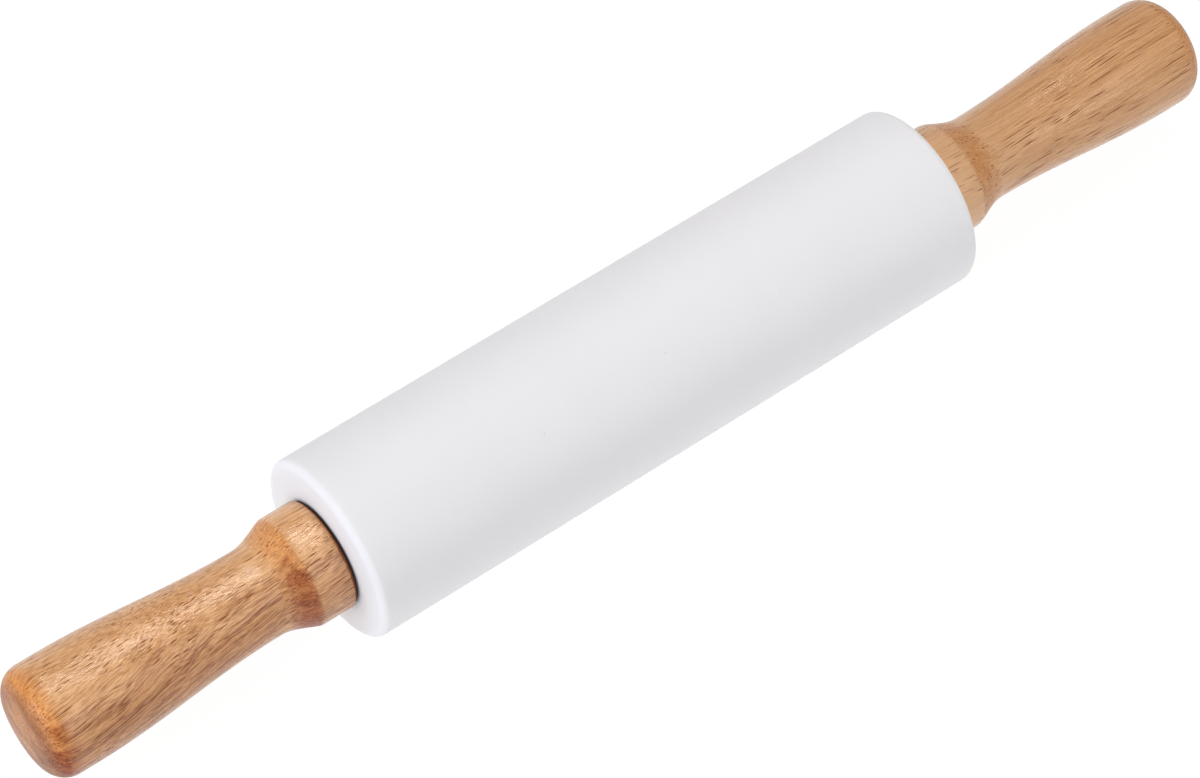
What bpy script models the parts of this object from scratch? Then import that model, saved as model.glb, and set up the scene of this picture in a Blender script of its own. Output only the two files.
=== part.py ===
# Rolling pin: a silicone skinned roller that turns on a steel shaft between two wooden handles.
#
# Metres, +Z up. The common axis of every piece lies along X. The roller rests on Z = 0 with its
# middle over the origin. Left pieces are on the -X side and right pieces on the +X side.
#
# Two groups turn against each other about the axis: the roller (silicone sleeve, core tube, end
# plugs, bushes) and the handle set (shaft, thrust washers, threaded inserts, handles).

import math

import bmesh
import bpy
from mathutils import Matrix, Vector

# Roller, outside
ROLLER_DIAMETER = 0.052
ROLLER_LENGTH = 0.195
ROLLER_RIM_RADIUS = 0.0022
REST_FLAT_DEPTH = 0.0002  # the flat along the underside, on which the roller comes to rest

# Silicone skin over the core
SKIN_THICKNESS = 0.003
END_SKIN_THICKNESS = 0.0025

# Core tube and the plugs in its ends
CORE_WALL = 0.004
PLUG_FLANGE_THICKNESS = 0.003
PLUG_SPIGOT_LENGTH = 0.014
PLUG_SPIGOT_WALL = 0.0025
PLUG_HUB_WALL = 0.003
PLUG_HUB_LENGTH = 0.020
PLUG_RIB_COUNT = 6
PLUG_RIB_THICKNESS = 0.002

# Flanged bushes that the shaft runs in
BUSH_WALL = 0.0025
BUSH_LENGTH = 0.018
BUSH_FLANGE_WIDTH = 0.0045
BUSH_PROUD = 0.0001  # the flange stands out of the skin, so that the washer rubs on it alone

# Shaft with a reduced, threaded stud at each end
SHAFT_DIAMETER = 0.008
SHOULDER_WIDTH = 0.001  # the step down from the shaft to its studs
STUD_LENGTH = 0.026
SHAFT_CHAMFER = 0.0005

# Thrust washers between the bushes and the handles
WASHER_THICKNESS = 0.0005
WASHER_INSET = 0.0001  # the washer's edge lies this far inside the collar's edge

# Threaded inserts pressed into the handles
INSERT_WALL = 0.002
INSERT_LENGTH = 0.020
INSERT_BARB_COUNT = 5
INSERT_BARB_HEIGHT = 0.0004

# Turned handle, measured from the collar's face outwards
HANDLE_LENGTH = 0.0905
COLLAR_DIAMETER = 0.0314
COLLAR_LENGTH = 0.0096
COLLAR_EDGE_RADIUS = 0.0006
SHOULDER_LENGTH = 0.0107
NECK_DIAMETER = 0.0248
BULB_DIAMETER = 0.0315
BULB_LENGTH = 0.0053  # the straight stretch between the swell and the butt's rounded corner
BUTT_CORNER_RADIUS = 0.0069
BUTT_DOME_HEIGHT = 0.0023
SHOULDER_START_ANGLE = math.radians(55.0)  # where on its cosine wave the shoulder leaves the ridge

# Clearances
SEAT_GAP = 0.0003  # between pieces that are seated in or on each other
RUNNING_GAP = 0.0002  # between pieces that turn or slide on each other
DRILL_END_GAP = 0.001  # empty hole past the end of the stud

# Slanted leading edges of the pieces that are pushed into others
PRESS_CHAMFER = 0.0008

# Fineness of the round shapes
ROLLER_SIDES = 72
CORE_SIDES = 48
SMALL_SIDES = 24
HANDLE_SIDES = 48
RIM_STEPS = 6
EDGE_STEPS = 2
SHOULDER_STEPS = 8
SWELL_STEPS = 10
CORNER_STEPS = 6
DOME_STEPS = 3
SHARP_ANGLE = math.radians(18.0)
MERGE_DISTANCE = 1e-6

# Places along the axis, all measured from the roller's middle
ROLLER_END = ROLLER_LENGTH / 2
PLUG_FACE = ROLLER_END - END_SKIN_THICKNESS - SEAT_GAP
CORE_END = PLUG_FACE - PLUG_FLANGE_THICKNESS - SEAT_GAP
BUSH_FACE = ROLLER_END + BUSH_PROUD
WASHER_FACE = BUSH_FACE + RUNNING_GAP
COLLAR_FACE = WASHER_FACE + WASHER_THICKNESS + RUNNING_GAP

# Radii that follow from the sizes above
ROLLER_RADIUS = ROLLER_DIAMETER / 2
AXIS_HEIGHT = ROLLER_RADIUS - REST_FLAT_DEPTH
SLEEVE_BORE_RADIUS = ROLLER_RADIUS - SKIN_THICKNESS
CORE_RADIUS = SLEEVE_BORE_RADIUS - SEAT_GAP
CORE_BORE_RADIUS = CORE_RADIUS - CORE_WALL
SPIGOT_RADIUS = CORE_BORE_RADIUS - SEAT_GAP
SPIGOT_BORE_RADIUS = SPIGOT_RADIUS - PLUG_SPIGOT_WALL
SHAFT_RADIUS = SHAFT_DIAMETER / 2
BUSH_BORE_RADIUS = SHAFT_RADIUS + RUNNING_GAP
BUSH_RADIUS = BUSH_BORE_RADIUS + BUSH_WALL
BUSH_FLANGE_RADIUS = BUSH_RADIUS + BUSH_FLANGE_WIDTH
END_OPENING_RADIUS = BUSH_FLANGE_RADIUS + SEAT_GAP
HUB_BORE_RADIUS = BUSH_RADIUS + SEAT_GAP
HUB_RADIUS = HUB_BORE_RADIUS + PLUG_HUB_WALL
STUD_RADIUS = SHAFT_RADIUS - SHOULDER_WIDTH
INSERT_BORE_RADIUS = STUD_RADIUS + SEAT_GAP
INSERT_RADIUS = INSERT_BORE_RADIUS + INSERT_WALL
INSERT_HOLE_RADIUS = INSERT_RADIUS + SEAT_GAP
COLLAR_RADIUS = COLLAR_DIAMETER / 2
NECK_RADIUS = NECK_DIAMETER / 2
BULB_RADIUS = BULB_DIAMETER / 2
WASHER_RADIUS = COLLAR_RADIUS - WASHER_INSET

# The handle's butt is an arc round the corner that touches an arc across the dome
DOME_RADIUS = (BULB_RADIUS**2 + BUTT_DOME_HEIGHT**2) / (2.0 * BUTT_DOME_HEIGHT)
DOME_CENTRE = HANDLE_LENGTH - DOME_RADIUS
CORNER_OUT = BULB_RADIUS - BUTT_CORNER_RADIUS
CORNER_ALONG = DOME_CENTRE + math.sqrt((DOME_RADIUS - BUTT_CORNER_RADIUS) ** 2 - CORNER_OUT**2)
NECK_ALONG = COLLAR_LENGTH + SHOULDER_LENGTH
SWELL_END = CORNER_ALONG - BULB_LENGTH

# Colours, linear
SILICONE_WHITE = (0.82, 0.82, 0.84)
POLYPROPYLENE_GREY = (0.55, 0.55, 0.53)
NYLON_NATURAL = (0.78, 0.75, 0.66)
STEEL_BRIGHT = (0.60, 0.60, 0.61)
FIBRE_DARK = (0.03, 0.022, 0.018)
BRASS_YELLOW = (0.72, 0.52, 0.22)
WOOD_HONEY = (0.60, 0.36, 0.19)


def clear_scene():
    for thing in list(bpy.data.objects):
        bpy.data.objects.remove(thing, do_unlink=True)


def make_material(name, colour, roughness, metallic=0.0):
    material = bpy.data.materials.new(name)
    material.use_nodes = True
    shader = material.node_tree.nodes["Principled BSDF"]
    shader.inputs["Base Color"].default_value = (*colour, 1.0)
    shader.inputs["Roughness"].default_value = roughness
    shader.inputs["Metallic"].default_value = metallic
    return material


def make_axis(name):
    """An empty on the common axis, which carries one group of pieces."""
    axis = bpy.data.objects.new(name, None)
    axis.location = (0.0, 0.0, AXIS_HEIGHT)
    bpy.context.collection.objects.link(axis)
    return axis


def arc(centre, radius, start_degrees, end_degrees, steps):
    """Points (along, radius) on an arc; 0 degrees points along the axis, 90 away from it."""
    points = []
    for step in range(steps + 1):
        angle = math.radians(start_degrees + (end_degrees - start_degrees) * step / steps)
        points.append((centre[0] + radius * math.cos(angle), centre[1] + radius * math.sin(angle)))
    return points


def spin_outline(outline, sides):
    """Spin (along, radius) points about X. An outline clear of the axis is closed into a ring."""
    shape = bmesh.new()
    half_side = Matrix.Rotation(math.pi / sides, 3, "X")
    corners = [shape.verts.new(half_side @ Vector((along, 0.0, radius))) for along, radius in outline]
    edges = [shape.edges.new(pair) for pair in zip(corners, corners[1:])]
    if outline[0][1] > MERGE_DISTANCE:
        edges.append(shape.edges.new((corners[-1], corners[0])))
    bmesh.ops.spin(
        shape,
        geom=corners + edges,
        cent=(0.0, 0.0, 0.0),
        axis=(1.0, 0.0, 0.0),
        angle=2.0 * math.pi,
        steps=sides,
        use_merge=True,
    )
    bmesh.ops.remove_doubles(shape, verts=shape.verts, dist=MERGE_DISTANCE)
    bmesh.ops.recalc_face_normals(shape, faces=shape.faces)
    return shape


def finish_mesh(name, shape, material):
    mesh = bpy.data.meshes.new(name)
    shape.to_mesh(mesh)
    shape.free()
    mesh.materials.append(material)
    mesh.shade_smooth()
    mesh.set_sharp_from_angle(angle=SHARP_ANGLE)
    return mesh


def place(name, mesh, axis, along=0.0, side=1):
    """Hang a mesh on its group's axis; side -1 turns it round to face the left end."""
    piece = bpy.data.objects.new(name, mesh)
    piece.parent = axis
    piece.location = (side * along, 0.0, 0.0)
    piece.rotation_euler = (0.0, 0.0, 0.0 if side > 0 else math.pi)
    bpy.context.collection.objects.link(piece)
    return piece


def place_pair(name, mesh, axis, along):
    """A right piece and its left twin, with their zero points the same distance from the middle."""
    return [place(f"{name}_{word}", mesh, axis, along, side) for word, side in (("left", -1), ("right", 1))]


# Silicone sleeve: moulded over the core in one piece, wrapped round both ends as far as the bushes

def sleeve_outline():
    inner_end = ROLLER_END - END_SKIN_THICKNESS
    rim_along = ROLLER_END - ROLLER_RIM_RADIUS
    rim_out = ROLLER_RADIUS - ROLLER_RIM_RADIUS
    right_rim = arc((rim_along, rim_out), ROLLER_RIM_RADIUS, 90.0, 0.0, RIM_STEPS)
    left_rim = arc((-rim_along, rim_out), ROLLER_RIM_RADIUS, 180.0, 90.0, RIM_STEPS)
    right_inside = [
        (ROLLER_END, END_OPENING_RADIUS),
        (inner_end, END_OPENING_RADIUS),
        (inner_end, SLEEVE_BORE_RADIUS),
    ]
    left_inside = [(-along, radius) for along, radius in reversed(right_inside)]
    return left_rim + right_rim + right_inside + left_inside


def cut_rest_flat(shape):
    """Flatten the underside where the roller's weight rests."""
    everything = shape.verts[:] + shape.edges[:] + shape.faces[:]
    cut = bmesh.ops.bisect_plane(
        shape,
        geom=everything,
        dist=MERGE_DISTANCE,
        plane_co=(0.0, 0.0, -AXIS_HEIGHT),
        plane_no=(0.0, 0.0, -1.0),
        clear_outer=True,
    )
    rim = [part for part in cut["geom_cut"] if isinstance(part, bmesh.types.BMEdge)]
    bmesh.ops.edgeloop_fill(shape, edges=rim)
    bmesh.ops.recalc_face_normals(shape, faces=shape.faces)


def make_sleeve(axis):
    shape = spin_outline(sleeve_outline(), ROLLER_SIDES)
    cut_rest_flat(shape)
    silicone = make_material("silicone_white", SILICONE_WHITE, 0.5)
    return place("silicone_sleeve", finish_mesh("silicone_sleeve", shape, silicone), axis)


# Core tube: the stiff extruded tube that keeps the roller straight

def make_core(axis):
    outline = [
        (-CORE_END, CORE_BORE_RADIUS),
        (-CORE_END, CORE_RADIUS),
        (CORE_END, CORE_RADIUS),
        (CORE_END, CORE_BORE_RADIUS),
    ]
    plastic = make_material("core_polypropylene", POLYPROPYLENE_GREY, 0.5)
    mesh = finish_mesh("core_tube", spin_outline(outline, CORE_SIDES), plastic)
    return place("core_tube", mesh, axis)


# End plugs: a flange on the tube's end, a spigot inside the tube and a ribbed hub for the bush.
# Along runs from the plug's outer face, so the inside of the roller is at negative values.

def plug_outline():
    flange_back = -PLUG_FLANGE_THICKNESS
    spigot_end = flange_back - PLUG_SPIGOT_LENGTH
    hub_end = flange_back - PLUG_HUB_LENGTH
    return [
        (0.0, HUB_BORE_RADIUS),
        (0.0, CORE_RADIUS),
        (flange_back, CORE_RADIUS),
        (flange_back, SPIGOT_RADIUS),
        (spigot_end + PRESS_CHAMFER, SPIGOT_RADIUS),
        (spigot_end, SPIGOT_RADIUS - PRESS_CHAMFER),
        (spigot_end, SPIGOT_BORE_RADIUS),
        (flange_back, SPIGOT_BORE_RADIUS),
        (flange_back, HUB_RADIUS),
        (hub_end, HUB_RADIUS),
        (hub_end, HUB_BORE_RADIUS),
    ]


def add_plug_ribs(shape):
    """Thin walls from the hub to the spigot, each reaching a little into what it joins."""
    inner = HUB_BORE_RADIUS + PLUG_HUB_WALL / 2
    outer = SPIGOT_BORE_RADIUS + PLUG_SPIGOT_WALL / 2
    front = -PLUG_FLANGE_THICKNESS / 2
    back = -PLUG_FLANGE_THICKNESS - min(PLUG_SPIGOT_LENGTH, PLUG_HUB_LENGTH) + PLUG_RIB_THICKNESS
    size = Matrix.Diagonal((front - back, PLUG_RIB_THICKNESS, outer - inner, 1.0))
    middle = Matrix.Translation(((front + back) / 2, 0.0, (outer + inner) / 2))
    for number in range(PLUG_RIB_COUNT):
        turn = Matrix.Rotation(2.0 * math.pi * number / PLUG_RIB_COUNT, 4, "X")
        bmesh.ops.create_cube(shape, size=1.0, matrix=turn @ middle @ size)


def make_plugs(axis):
    plastic = make_material("plug_polypropylene", POLYPROPYLENE_GREY, 0.45)
    mesh = finish_mesh("end_plug", spin_outline(plug_outline(), CORE_SIDES), plastic)
    ribs_shape = bmesh.new()
    add_plug_ribs(ribs_shape)
    ribs_mesh = finish_mesh("plug_ribs", ribs_shape, plastic)
    plugs = place_pair("end_plug", mesh, axis, PLUG_FACE)
    for plug, word, side in zip(plugs, ("left", "right"), (-1, 1)):
        ribs = place(f"plug_ribs_{word}", ribs_mesh, axis, PLUG_FACE, side)
        ribs.hide_render = True
        ribs.display_type = "WIRE"
        union = plug.modifiers.new("ribs", "BOOLEAN")
        union.operation = "UNION"
        union.solver = "EXACT"
        union.object = ribs
    return plugs


# Bushes: nylon sleeves pushed into the plugs, with a flange in the skin's end opening.
# Along runs from the flange's outer face.

def make_bushes(axis):
    flange_back = -(BUSH_FACE - PLUG_FACE - SEAT_GAP)
    body_end = flange_back - BUSH_LENGTH
    outline = [
        (0.0, BUSH_BORE_RADIUS),
        (0.0, BUSH_FLANGE_RADIUS),
        (flange_back, BUSH_FLANGE_RADIUS),
        (flange_back, BUSH_RADIUS),
        (body_end + PRESS_CHAMFER, BUSH_RADIUS),
        (body_end, BUSH_RADIUS - PRESS_CHAMFER),
        (body_end, BUSH_BORE_RADIUS),
    ]
    nylon = make_material("bush_nylon", NYLON_NATURAL, 0.4)
    mesh = finish_mesh("bush", spin_outline(outline, SMALL_SIDES), nylon)
    return place_pair("bush", mesh, axis, BUSH_FACE)


# Shaft: a steel rod whose shoulders stop both handles, so that screwing them tight leaves the
# roller its running gaps

def make_shaft(axis):
    stud_end = COLLAR_FACE + STUD_LENGTH
    right_half = [
        (COLLAR_FACE - SHAFT_CHAMFER, SHAFT_RADIUS),
        (COLLAR_FACE, SHAFT_RADIUS - SHAFT_CHAMFER),
        (COLLAR_FACE, STUD_RADIUS),
        (stud_end - SHAFT_CHAMFER, STUD_RADIUS),
        (stud_end, STUD_RADIUS - SHAFT_CHAMFER),
        (stud_end, 0.0),
    ]
    left_half = [(-along, radius) for along, radius in reversed(right_half)]
    steel = make_material("shaft_steel", STEEL_BRIGHT, 0.3, 1.0)
    mesh = finish_mesh("shaft", spin_outline(left_half + right_half, SMALL_SIDES), steel)
    return place("shaft", mesh, axis)


# Thrust washers: thin dark discs, seen as the dark line between the handles and the roller

def make_washers(axis):
    outline = [
        (0.0, BUSH_BORE_RADIUS),
        (0.0, WASHER_RADIUS),
        (WASHER_THICKNESS, WASHER_RADIUS),
        (WASHER_THICKNESS, BUSH_BORE_RADIUS),
    ]
    fibre = make_material("washer_fibre", FIBRE_DARK, 0.6)
    mesh = finish_mesh("thrust_washer", spin_outline(outline, HANDLE_SIDES), fibre)
    return place_pair("thrust_washer", mesh, axis, WASHER_FACE)


# Threaded inserts: brass, with barbs that hold in the wood. Along runs from the insert's open end.

def insert_outline():
    pitch = INSERT_LENGTH / INSERT_BARB_COUNT
    valley = INSERT_RADIUS - INSERT_BARB_HEIGHT
    outline = [(0.0, INSERT_BORE_RADIUS), (0.0, INSERT_RADIUS)]
    for number in range(INSERT_BARB_COUNT):
        barb_end = (number + 1) * pitch
        outline.append((barb_end, valley))
        if number < INSERT_BARB_COUNT - 1:
            outline.append((barb_end, INSERT_RADIUS))
    outline.append((INSERT_LENGTH, INSERT_BORE_RADIUS))
    return outline


def make_inserts(axis):
    brass = make_material("insert_brass", BRASS_YELLOW, 0.35, 1.0)
    mesh = finish_mesh("threaded_insert", spin_outline(insert_outline(), SMALL_SIDES), brass)
    return place_pair("threaded_insert", mesh, axis, COLLAR_FACE + SEAT_GAP)


# Handles: turned hardwood with a short collar, a concave shoulder, a slow swell and a domed butt.
# Along runs from the collar's face to the butt.

def handle_hole():
    """The stepped blind hole for the insert and the end of the stud, from its bottom outwards."""
    insert_depth = SEAT_GAP + INSERT_LENGTH + SEAT_GAP
    stud_depth = max(STUD_LENGTH, insert_depth) + DRILL_END_GAP
    return [
        (stud_depth, 0.0),
        (stud_depth, INSERT_BORE_RADIUS),
        (insert_depth, INSERT_BORE_RADIUS),
        (insert_depth, INSERT_HOLE_RADIUS),
        (0.0, INSERT_HOLE_RADIUS),
    ]


def shoulder_curve():
    """From the collar's crisp ridge down to the neck, on a cosine wave joined past its crest."""
    top = math.cos(SHOULDER_START_ANGLE)
    points = []
    for step in range(SHOULDER_STEPS + 1):
        share = step / SHOULDER_STEPS
        angle = SHOULDER_START_ANGLE + (math.pi - SHOULDER_START_ANGLE) * share
        height = (1.0 + math.cos(angle)) / (1.0 + top)
        along = COLLAR_LENGTH + SHOULDER_LENGTH * share
        points.append((along, NECK_RADIUS + (COLLAR_RADIUS - NECK_RADIUS) * height))
    return points


def swell_curve():
    """From the neck out to the bulb, on half a cosine wave."""
    points = []
    for step in range(1, SWELL_STEPS + 1):
        share = step / SWELL_STEPS
        height = (1.0 - math.cos(math.pi * share)) / 2.0
        along = NECK_ALONG + (SWELL_END - NECK_ALONG) * share
        points.append((along, NECK_RADIUS + (BULB_RADIUS - NECK_RADIUS) * height))
    return points


def butt_curve():
    """The rounded corner and the shallow dome, as two arcs that touch without a crease."""
    meeting = math.degrees(math.atan2(CORNER_OUT, CORNER_ALONG - DOME_CENTRE))
    corner = arc((CORNER_ALONG, CORNER_OUT), BUTT_CORNER_RADIUS, 90.0, meeting, CORNER_STEPS)
    dome = arc((DOME_CENTRE, 0.0), DOME_RADIUS, meeting, 0.0, DOME_STEPS)
    return corner + dome[1:-1] + [(HANDLE_LENGTH, 0.0)]


def handle_outline():
    edge_centre = (COLLAR_EDGE_RADIUS, COLLAR_RADIUS - COLLAR_EDGE_RADIUS)
    collar_edge = arc(edge_centre, COLLAR_EDGE_RADIUS, 180.0, 90.0, EDGE_STEPS)
    return handle_hole() + collar_edge + shoulder_curve() + swell_curve() + butt_curve()


def make_handles(axis):
    wood = make_material("handle_wood", WOOD_HONEY, 0.35)
    mesh = finish_mesh("handle", spin_outline(handle_outline(), HANDLE_SIDES), wood)
    return place_pair("handle", mesh, axis, COLLAR_FACE)


def build():
    clear_scene()
    roller_axis = make_axis("roller_axis")
    make_sleeve(roller_axis)
    make_core(roller_axis)
    make_plugs(roller_axis)
    make_bushes(roller_axis)
    handle_axis = make_axis("handle_set_axis")
    make_shaft(handle_axis)
    make_washers(handle_axis)
    make_inserts(handle_axis)
    make_handles(handle_axis)


build()
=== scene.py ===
# %% [markdown]
# Silicone rolling pin
#
# A rolling pin has two things to look at: a white silicone roller, soft and matt, and two turned
# wooden handles under a thin satin lacquer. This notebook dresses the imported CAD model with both.
# The CAD pieces keep their places. What shows gets a finer mesh, and what is hidden inside the
# roller keeps its CAD mesh and gets a finish of its own.

# %% Load the fixed frame
import math

import bmesh
import bpy
from mathutils import Euler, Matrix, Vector


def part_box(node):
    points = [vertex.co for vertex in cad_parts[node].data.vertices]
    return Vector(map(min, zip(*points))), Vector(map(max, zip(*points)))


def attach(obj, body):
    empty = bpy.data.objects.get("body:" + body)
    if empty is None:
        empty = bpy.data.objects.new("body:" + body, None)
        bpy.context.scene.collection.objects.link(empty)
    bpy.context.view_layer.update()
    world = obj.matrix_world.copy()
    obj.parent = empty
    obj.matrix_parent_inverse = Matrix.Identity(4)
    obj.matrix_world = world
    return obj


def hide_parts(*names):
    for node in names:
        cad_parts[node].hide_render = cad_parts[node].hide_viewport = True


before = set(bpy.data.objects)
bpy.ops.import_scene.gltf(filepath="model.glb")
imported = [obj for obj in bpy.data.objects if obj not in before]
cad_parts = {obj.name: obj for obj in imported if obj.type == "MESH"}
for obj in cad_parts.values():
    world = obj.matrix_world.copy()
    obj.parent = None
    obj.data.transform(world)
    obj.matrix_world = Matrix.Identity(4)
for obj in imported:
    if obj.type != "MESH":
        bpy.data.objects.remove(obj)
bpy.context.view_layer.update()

roller_body = "roller"
handle_body = "handle_set"
print("pieces in the frame:", sorted(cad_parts))

# %% [markdown]
# Sizes. Every round piece turns about one axis, which lies along X. A turned piece is drawn as
# an outline: a list of points, each with its place along the axis and its distance out from it.
# Both are in metres, so sizes given in millimetres are multiplied by MM.

# %% The common axis, and how an outline is drawn
MM = 0.001
roller_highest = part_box("silicone_sleeve")[1]
roller_radius = 26.0 * MM
roller_end = roller_highest.x
rest_flat_depth = 0.2 * MM
axis_height = roller_radius - rest_flat_depth


def arc(centre, radius, start_degrees, end_degrees, steps):
    """Points on an arc; 0 degrees points along the axis and 90 degrees points away from it."""
    points = []
    for step in range(steps + 1):
        angle = math.radians(start_degrees + (end_degrees - start_degrees) * step / steps)
        points.append((centre[0] + radius * math.cos(angle), centre[1] + radius * math.sin(angle)))
    return points


def line(start, end, steps):
    """Evenly spaced points from start towards end, without the last one."""
    return [
        tuple(a + (b - a) * step / steps for a, b in zip(start, end))
        for step in range(steps)
    ]


print(f"the roller ends {roller_end / MM:.1f} mm from its middle")
print(f"the axis is {axis_height / MM:.1f} mm above the table")

# %% [markdown]
# Helpers. Colours are picked as sRGB hex values, as on a colour card, and Blender's shaders want
# linear numbers, so one function converts them. Another adds a node of any kind to any tree, with
# its settings, and sets or joins its inputs. Written by hand, a tree of 30 nodes would take some
# hundred lines, and its links would be hard to follow.

# %% Colour and node helpers
def colour(hex_value):
    """An sRGB hex colour as linear red, green, blue and alpha."""
    channels = [int(hex_value[place:place + 2], 16) / 255 for place in (1, 3, 5)]
    linear = [c / 12.92 if c <= 0.04045 else ((c + 0.055) / 1.055) ** 2.4 for c in channels]
    return (*linear, 1.0)


def socket(sockets, key):
    """A socket by its identifier, such as Value_001, or else by its name."""
    return next((s for s in sockets if s.identifier == key), None) or sockets[key]


def fill(tree, node, inputs):
    """Join each input to another node's output, or set it to a plain value."""
    for key, value in inputs.items():
        target = socket(node.inputs, key)
        if isinstance(value, bpy.types.NodeSocket):
            tree.links.new(value, target)
        else:
            target.default_value = value


def add_node(tree, kind, inputs=None, output=None, **settings):
    """Add a node and return one of its outputs, or the node itself where output is None."""
    node = tree.nodes.new(kind)
    for name, value in settings.items():
        setattr(node, name, value)
    fill(tree, node, inputs or {})
    return socket(node.outputs, output) if output else node


print("wood brown as linear numbers:", [round(c, 3) for c in colour("#c8905c")])

# %% [markdown]
# The lathe. The roller and the handles are solids of revolution: on the real object the wood is
# cut on a lathe and the silicone is moulded round a tube. One Geometry Nodes tree does that job.
# It takes an outline, lays a grid with one row for each outline point and one column for each
# step round the axis, moves every grid point to its place, and closes the seam and the poles.
# The Screw modifier turns an outline too, but it can't cut the roller flat where it rests. The
# tree also stores which way the surface faces, because the wood needs to know where its fibres
# are cut across.

# %% Build the lathe tree
lathe = bpy.data.node_groups.new("lathe", "GeometryNodeTree")
lathe_inputs = {}
for name, kind in (
    ("Outline", "NodeSocketGeometry"),
    ("Sides", "NodeSocketInt"),
    ("Axis height", "NodeSocketFloat"),
    ("Lowest height", "NodeSocketFloat"),
    ("Merge distance", "NodeSocketFloat"),
    ("Material", "NodeSocketMaterial"),
):
    made = lathe.interface.new_socket(name=name, in_out="INPUT", socket_type=kind)
    lathe_inputs[name] = made.identifier
lathe.interface.new_socket(name="Turned", in_out="OUTPUT", socket_type="NodeSocketGeometry")

given = add_node(lathe, "NodeGroupInput").outputs
rows = add_node(lathe, "GeometryNodeAttributeDomainSize", {"Geometry": given["Outline"]}, "Point Count")
columns = add_node(
    lathe, "FunctionNodeIntegerMath", {"Value": given["Sides"], "Value_001": 1}, "Value", operation="ADD"
)
grid = add_node(lathe, "GeometryNodeMeshGrid", {"Vertices X": rows, "Vertices Y": columns}, "Mesh")
number = add_node(lathe, "GeometryNodeInputIndex", output="Index")
row = add_node(
    lathe,
    "FunctionNodeIntegerMath",
    {"Value": number, "Value_001": columns},
    "Value",
    operation="DIVIDE_FLOOR",
)
column = add_node(
    lathe, "FunctionNodeIntegerMath", {"Value": number, "Value_001": columns}, "Value", operation="MODULO"
)
here = add_node(lathe, "GeometryNodeInputPosition", output="Position")
drawn = add_node(
    lathe,
    "GeometryNodeSampleIndex",
    {"Geometry": given["Outline"], "Value": here, "Index": row},
    "Value",
    data_type="FLOAT_VECTOR",
    domain="POINT",
)
drawn_parts = add_node(lathe, "ShaderNodeSeparateXYZ", {"Vector": drawn}).outputs
share = add_node(
    lathe, "ShaderNodeMath", {"Value": column, "Value_001": given["Sides"]}, "Value", operation="DIVIDE"
)
turn = add_node(
    lathe, "ShaderNodeMath", {"Value": share, "Value_001": math.tau}, "Value", operation="MULTIPLY"
)
sine = add_node(lathe, "ShaderNodeMath", {"Value": turn}, "Value", operation="SINE")
cosine = add_node(lathe, "ShaderNodeMath", {"Value": turn}, "Value", operation="COSINE")
across = add_node(
    lathe, "ShaderNodeMath", {"Value": drawn_parts["Z"], "Value_001": sine}, "Value", operation="MULTIPLY"
)
height = add_node(
    lathe,
    "ShaderNodeMath",
    {"Value": drawn_parts["Z"], "Value_001": cosine, "Value_002": given["Axis height"]},
    "Value",
    operation="MULTIPLY_ADD",
)
rested = add_node(
    lathe,
    "ShaderNodeMath",
    {"Value": height, "Value_001": given["Lowest height"]},
    "Value",
    operation="MAXIMUM",
)
place = add_node(
    lathe, "ShaderNodeCombineXYZ", {"X": drawn_parts["X"], "Y": across, "Z": rested}, "Vector"
)
bent = add_node(lathe, "GeometryNodeSetPosition", {"Geometry": grid, "Position": place}, "Geometry")
closed = add_node(
    lathe,
    "GeometryNodeMergeByDistance",
    {"Geometry": bent, "Distance": given["Merge distance"]},
    "Geometry",
)
normal = add_node(lathe, "GeometryNodeInputNormal", output="Normal")
marked = add_node(
    lathe,
    "GeometryNodeStoreNamedAttribute",
    {"Geometry": closed, "Name": "facing", "Value": normal},
    "Geometry",
    data_type="FLOAT_VECTOR",
    domain="POINT",
)
plain = add_node(lathe, "GeometryNodeRealizeInstances", {"Geometry": marked}, "Geometry")
dressed = add_node(
    lathe, "GeometryNodeSetMaterial", {"Geometry": plain, "Material": given["Material"]}, "Geometry"
)
add_node(lathe, "NodeGroupOutput", {"Turned": dressed})
print("the lathe tree has", len(lathe.nodes), "nodes")

# %% [markdown]
# Using the lathe. The outline becomes a mesh of loose edges, the tree turns it, and the result is
# copied out as a plain mesh, so that nothing is left to compute when the piece is exported. The
# faces are then pointed outwards, because the lathe doesn't know which way an outline runs.

# %% Turn an outline into a finished piece
merge_distance = 0.001 * MM
no_floor = -1.0
crease_angle = math.radians(28.0)


def turn_piece(name, outline, sides, material, lowest=no_floor):
    """Turn an outline of (along, out) points about the common axis and return the piece."""
    blank_mesh = bpy.data.meshes.new(name + "_outline")
    links = [(step, step + 1) for step in range(len(outline) - 1)]
    blank_mesh.from_pydata([(along, 0.0, out) for along, out in outline], links, [])
    blank = bpy.data.objects.new(name + "_outline", blank_mesh)
    bpy.context.collection.objects.link(blank)
    modifier = blank.modifiers.new("lathe", "NODES")
    modifier.node_group = lathe
    modifier[lathe_inputs["Sides"]] = sides
    modifier[lathe_inputs["Axis height"]] = axis_height
    modifier[lathe_inputs["Lowest height"]] = lowest
    modifier[lathe_inputs["Merge distance"]] = merge_distance
    modifier[lathe_inputs["Material"]] = material
    turned = blank.evaluated_get(bpy.context.evaluated_depsgraph_get())
    mesh = bpy.data.meshes.new_from_object(turned)
    bpy.data.objects.remove(blank)
    return finish_piece(name, mesh)


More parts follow.
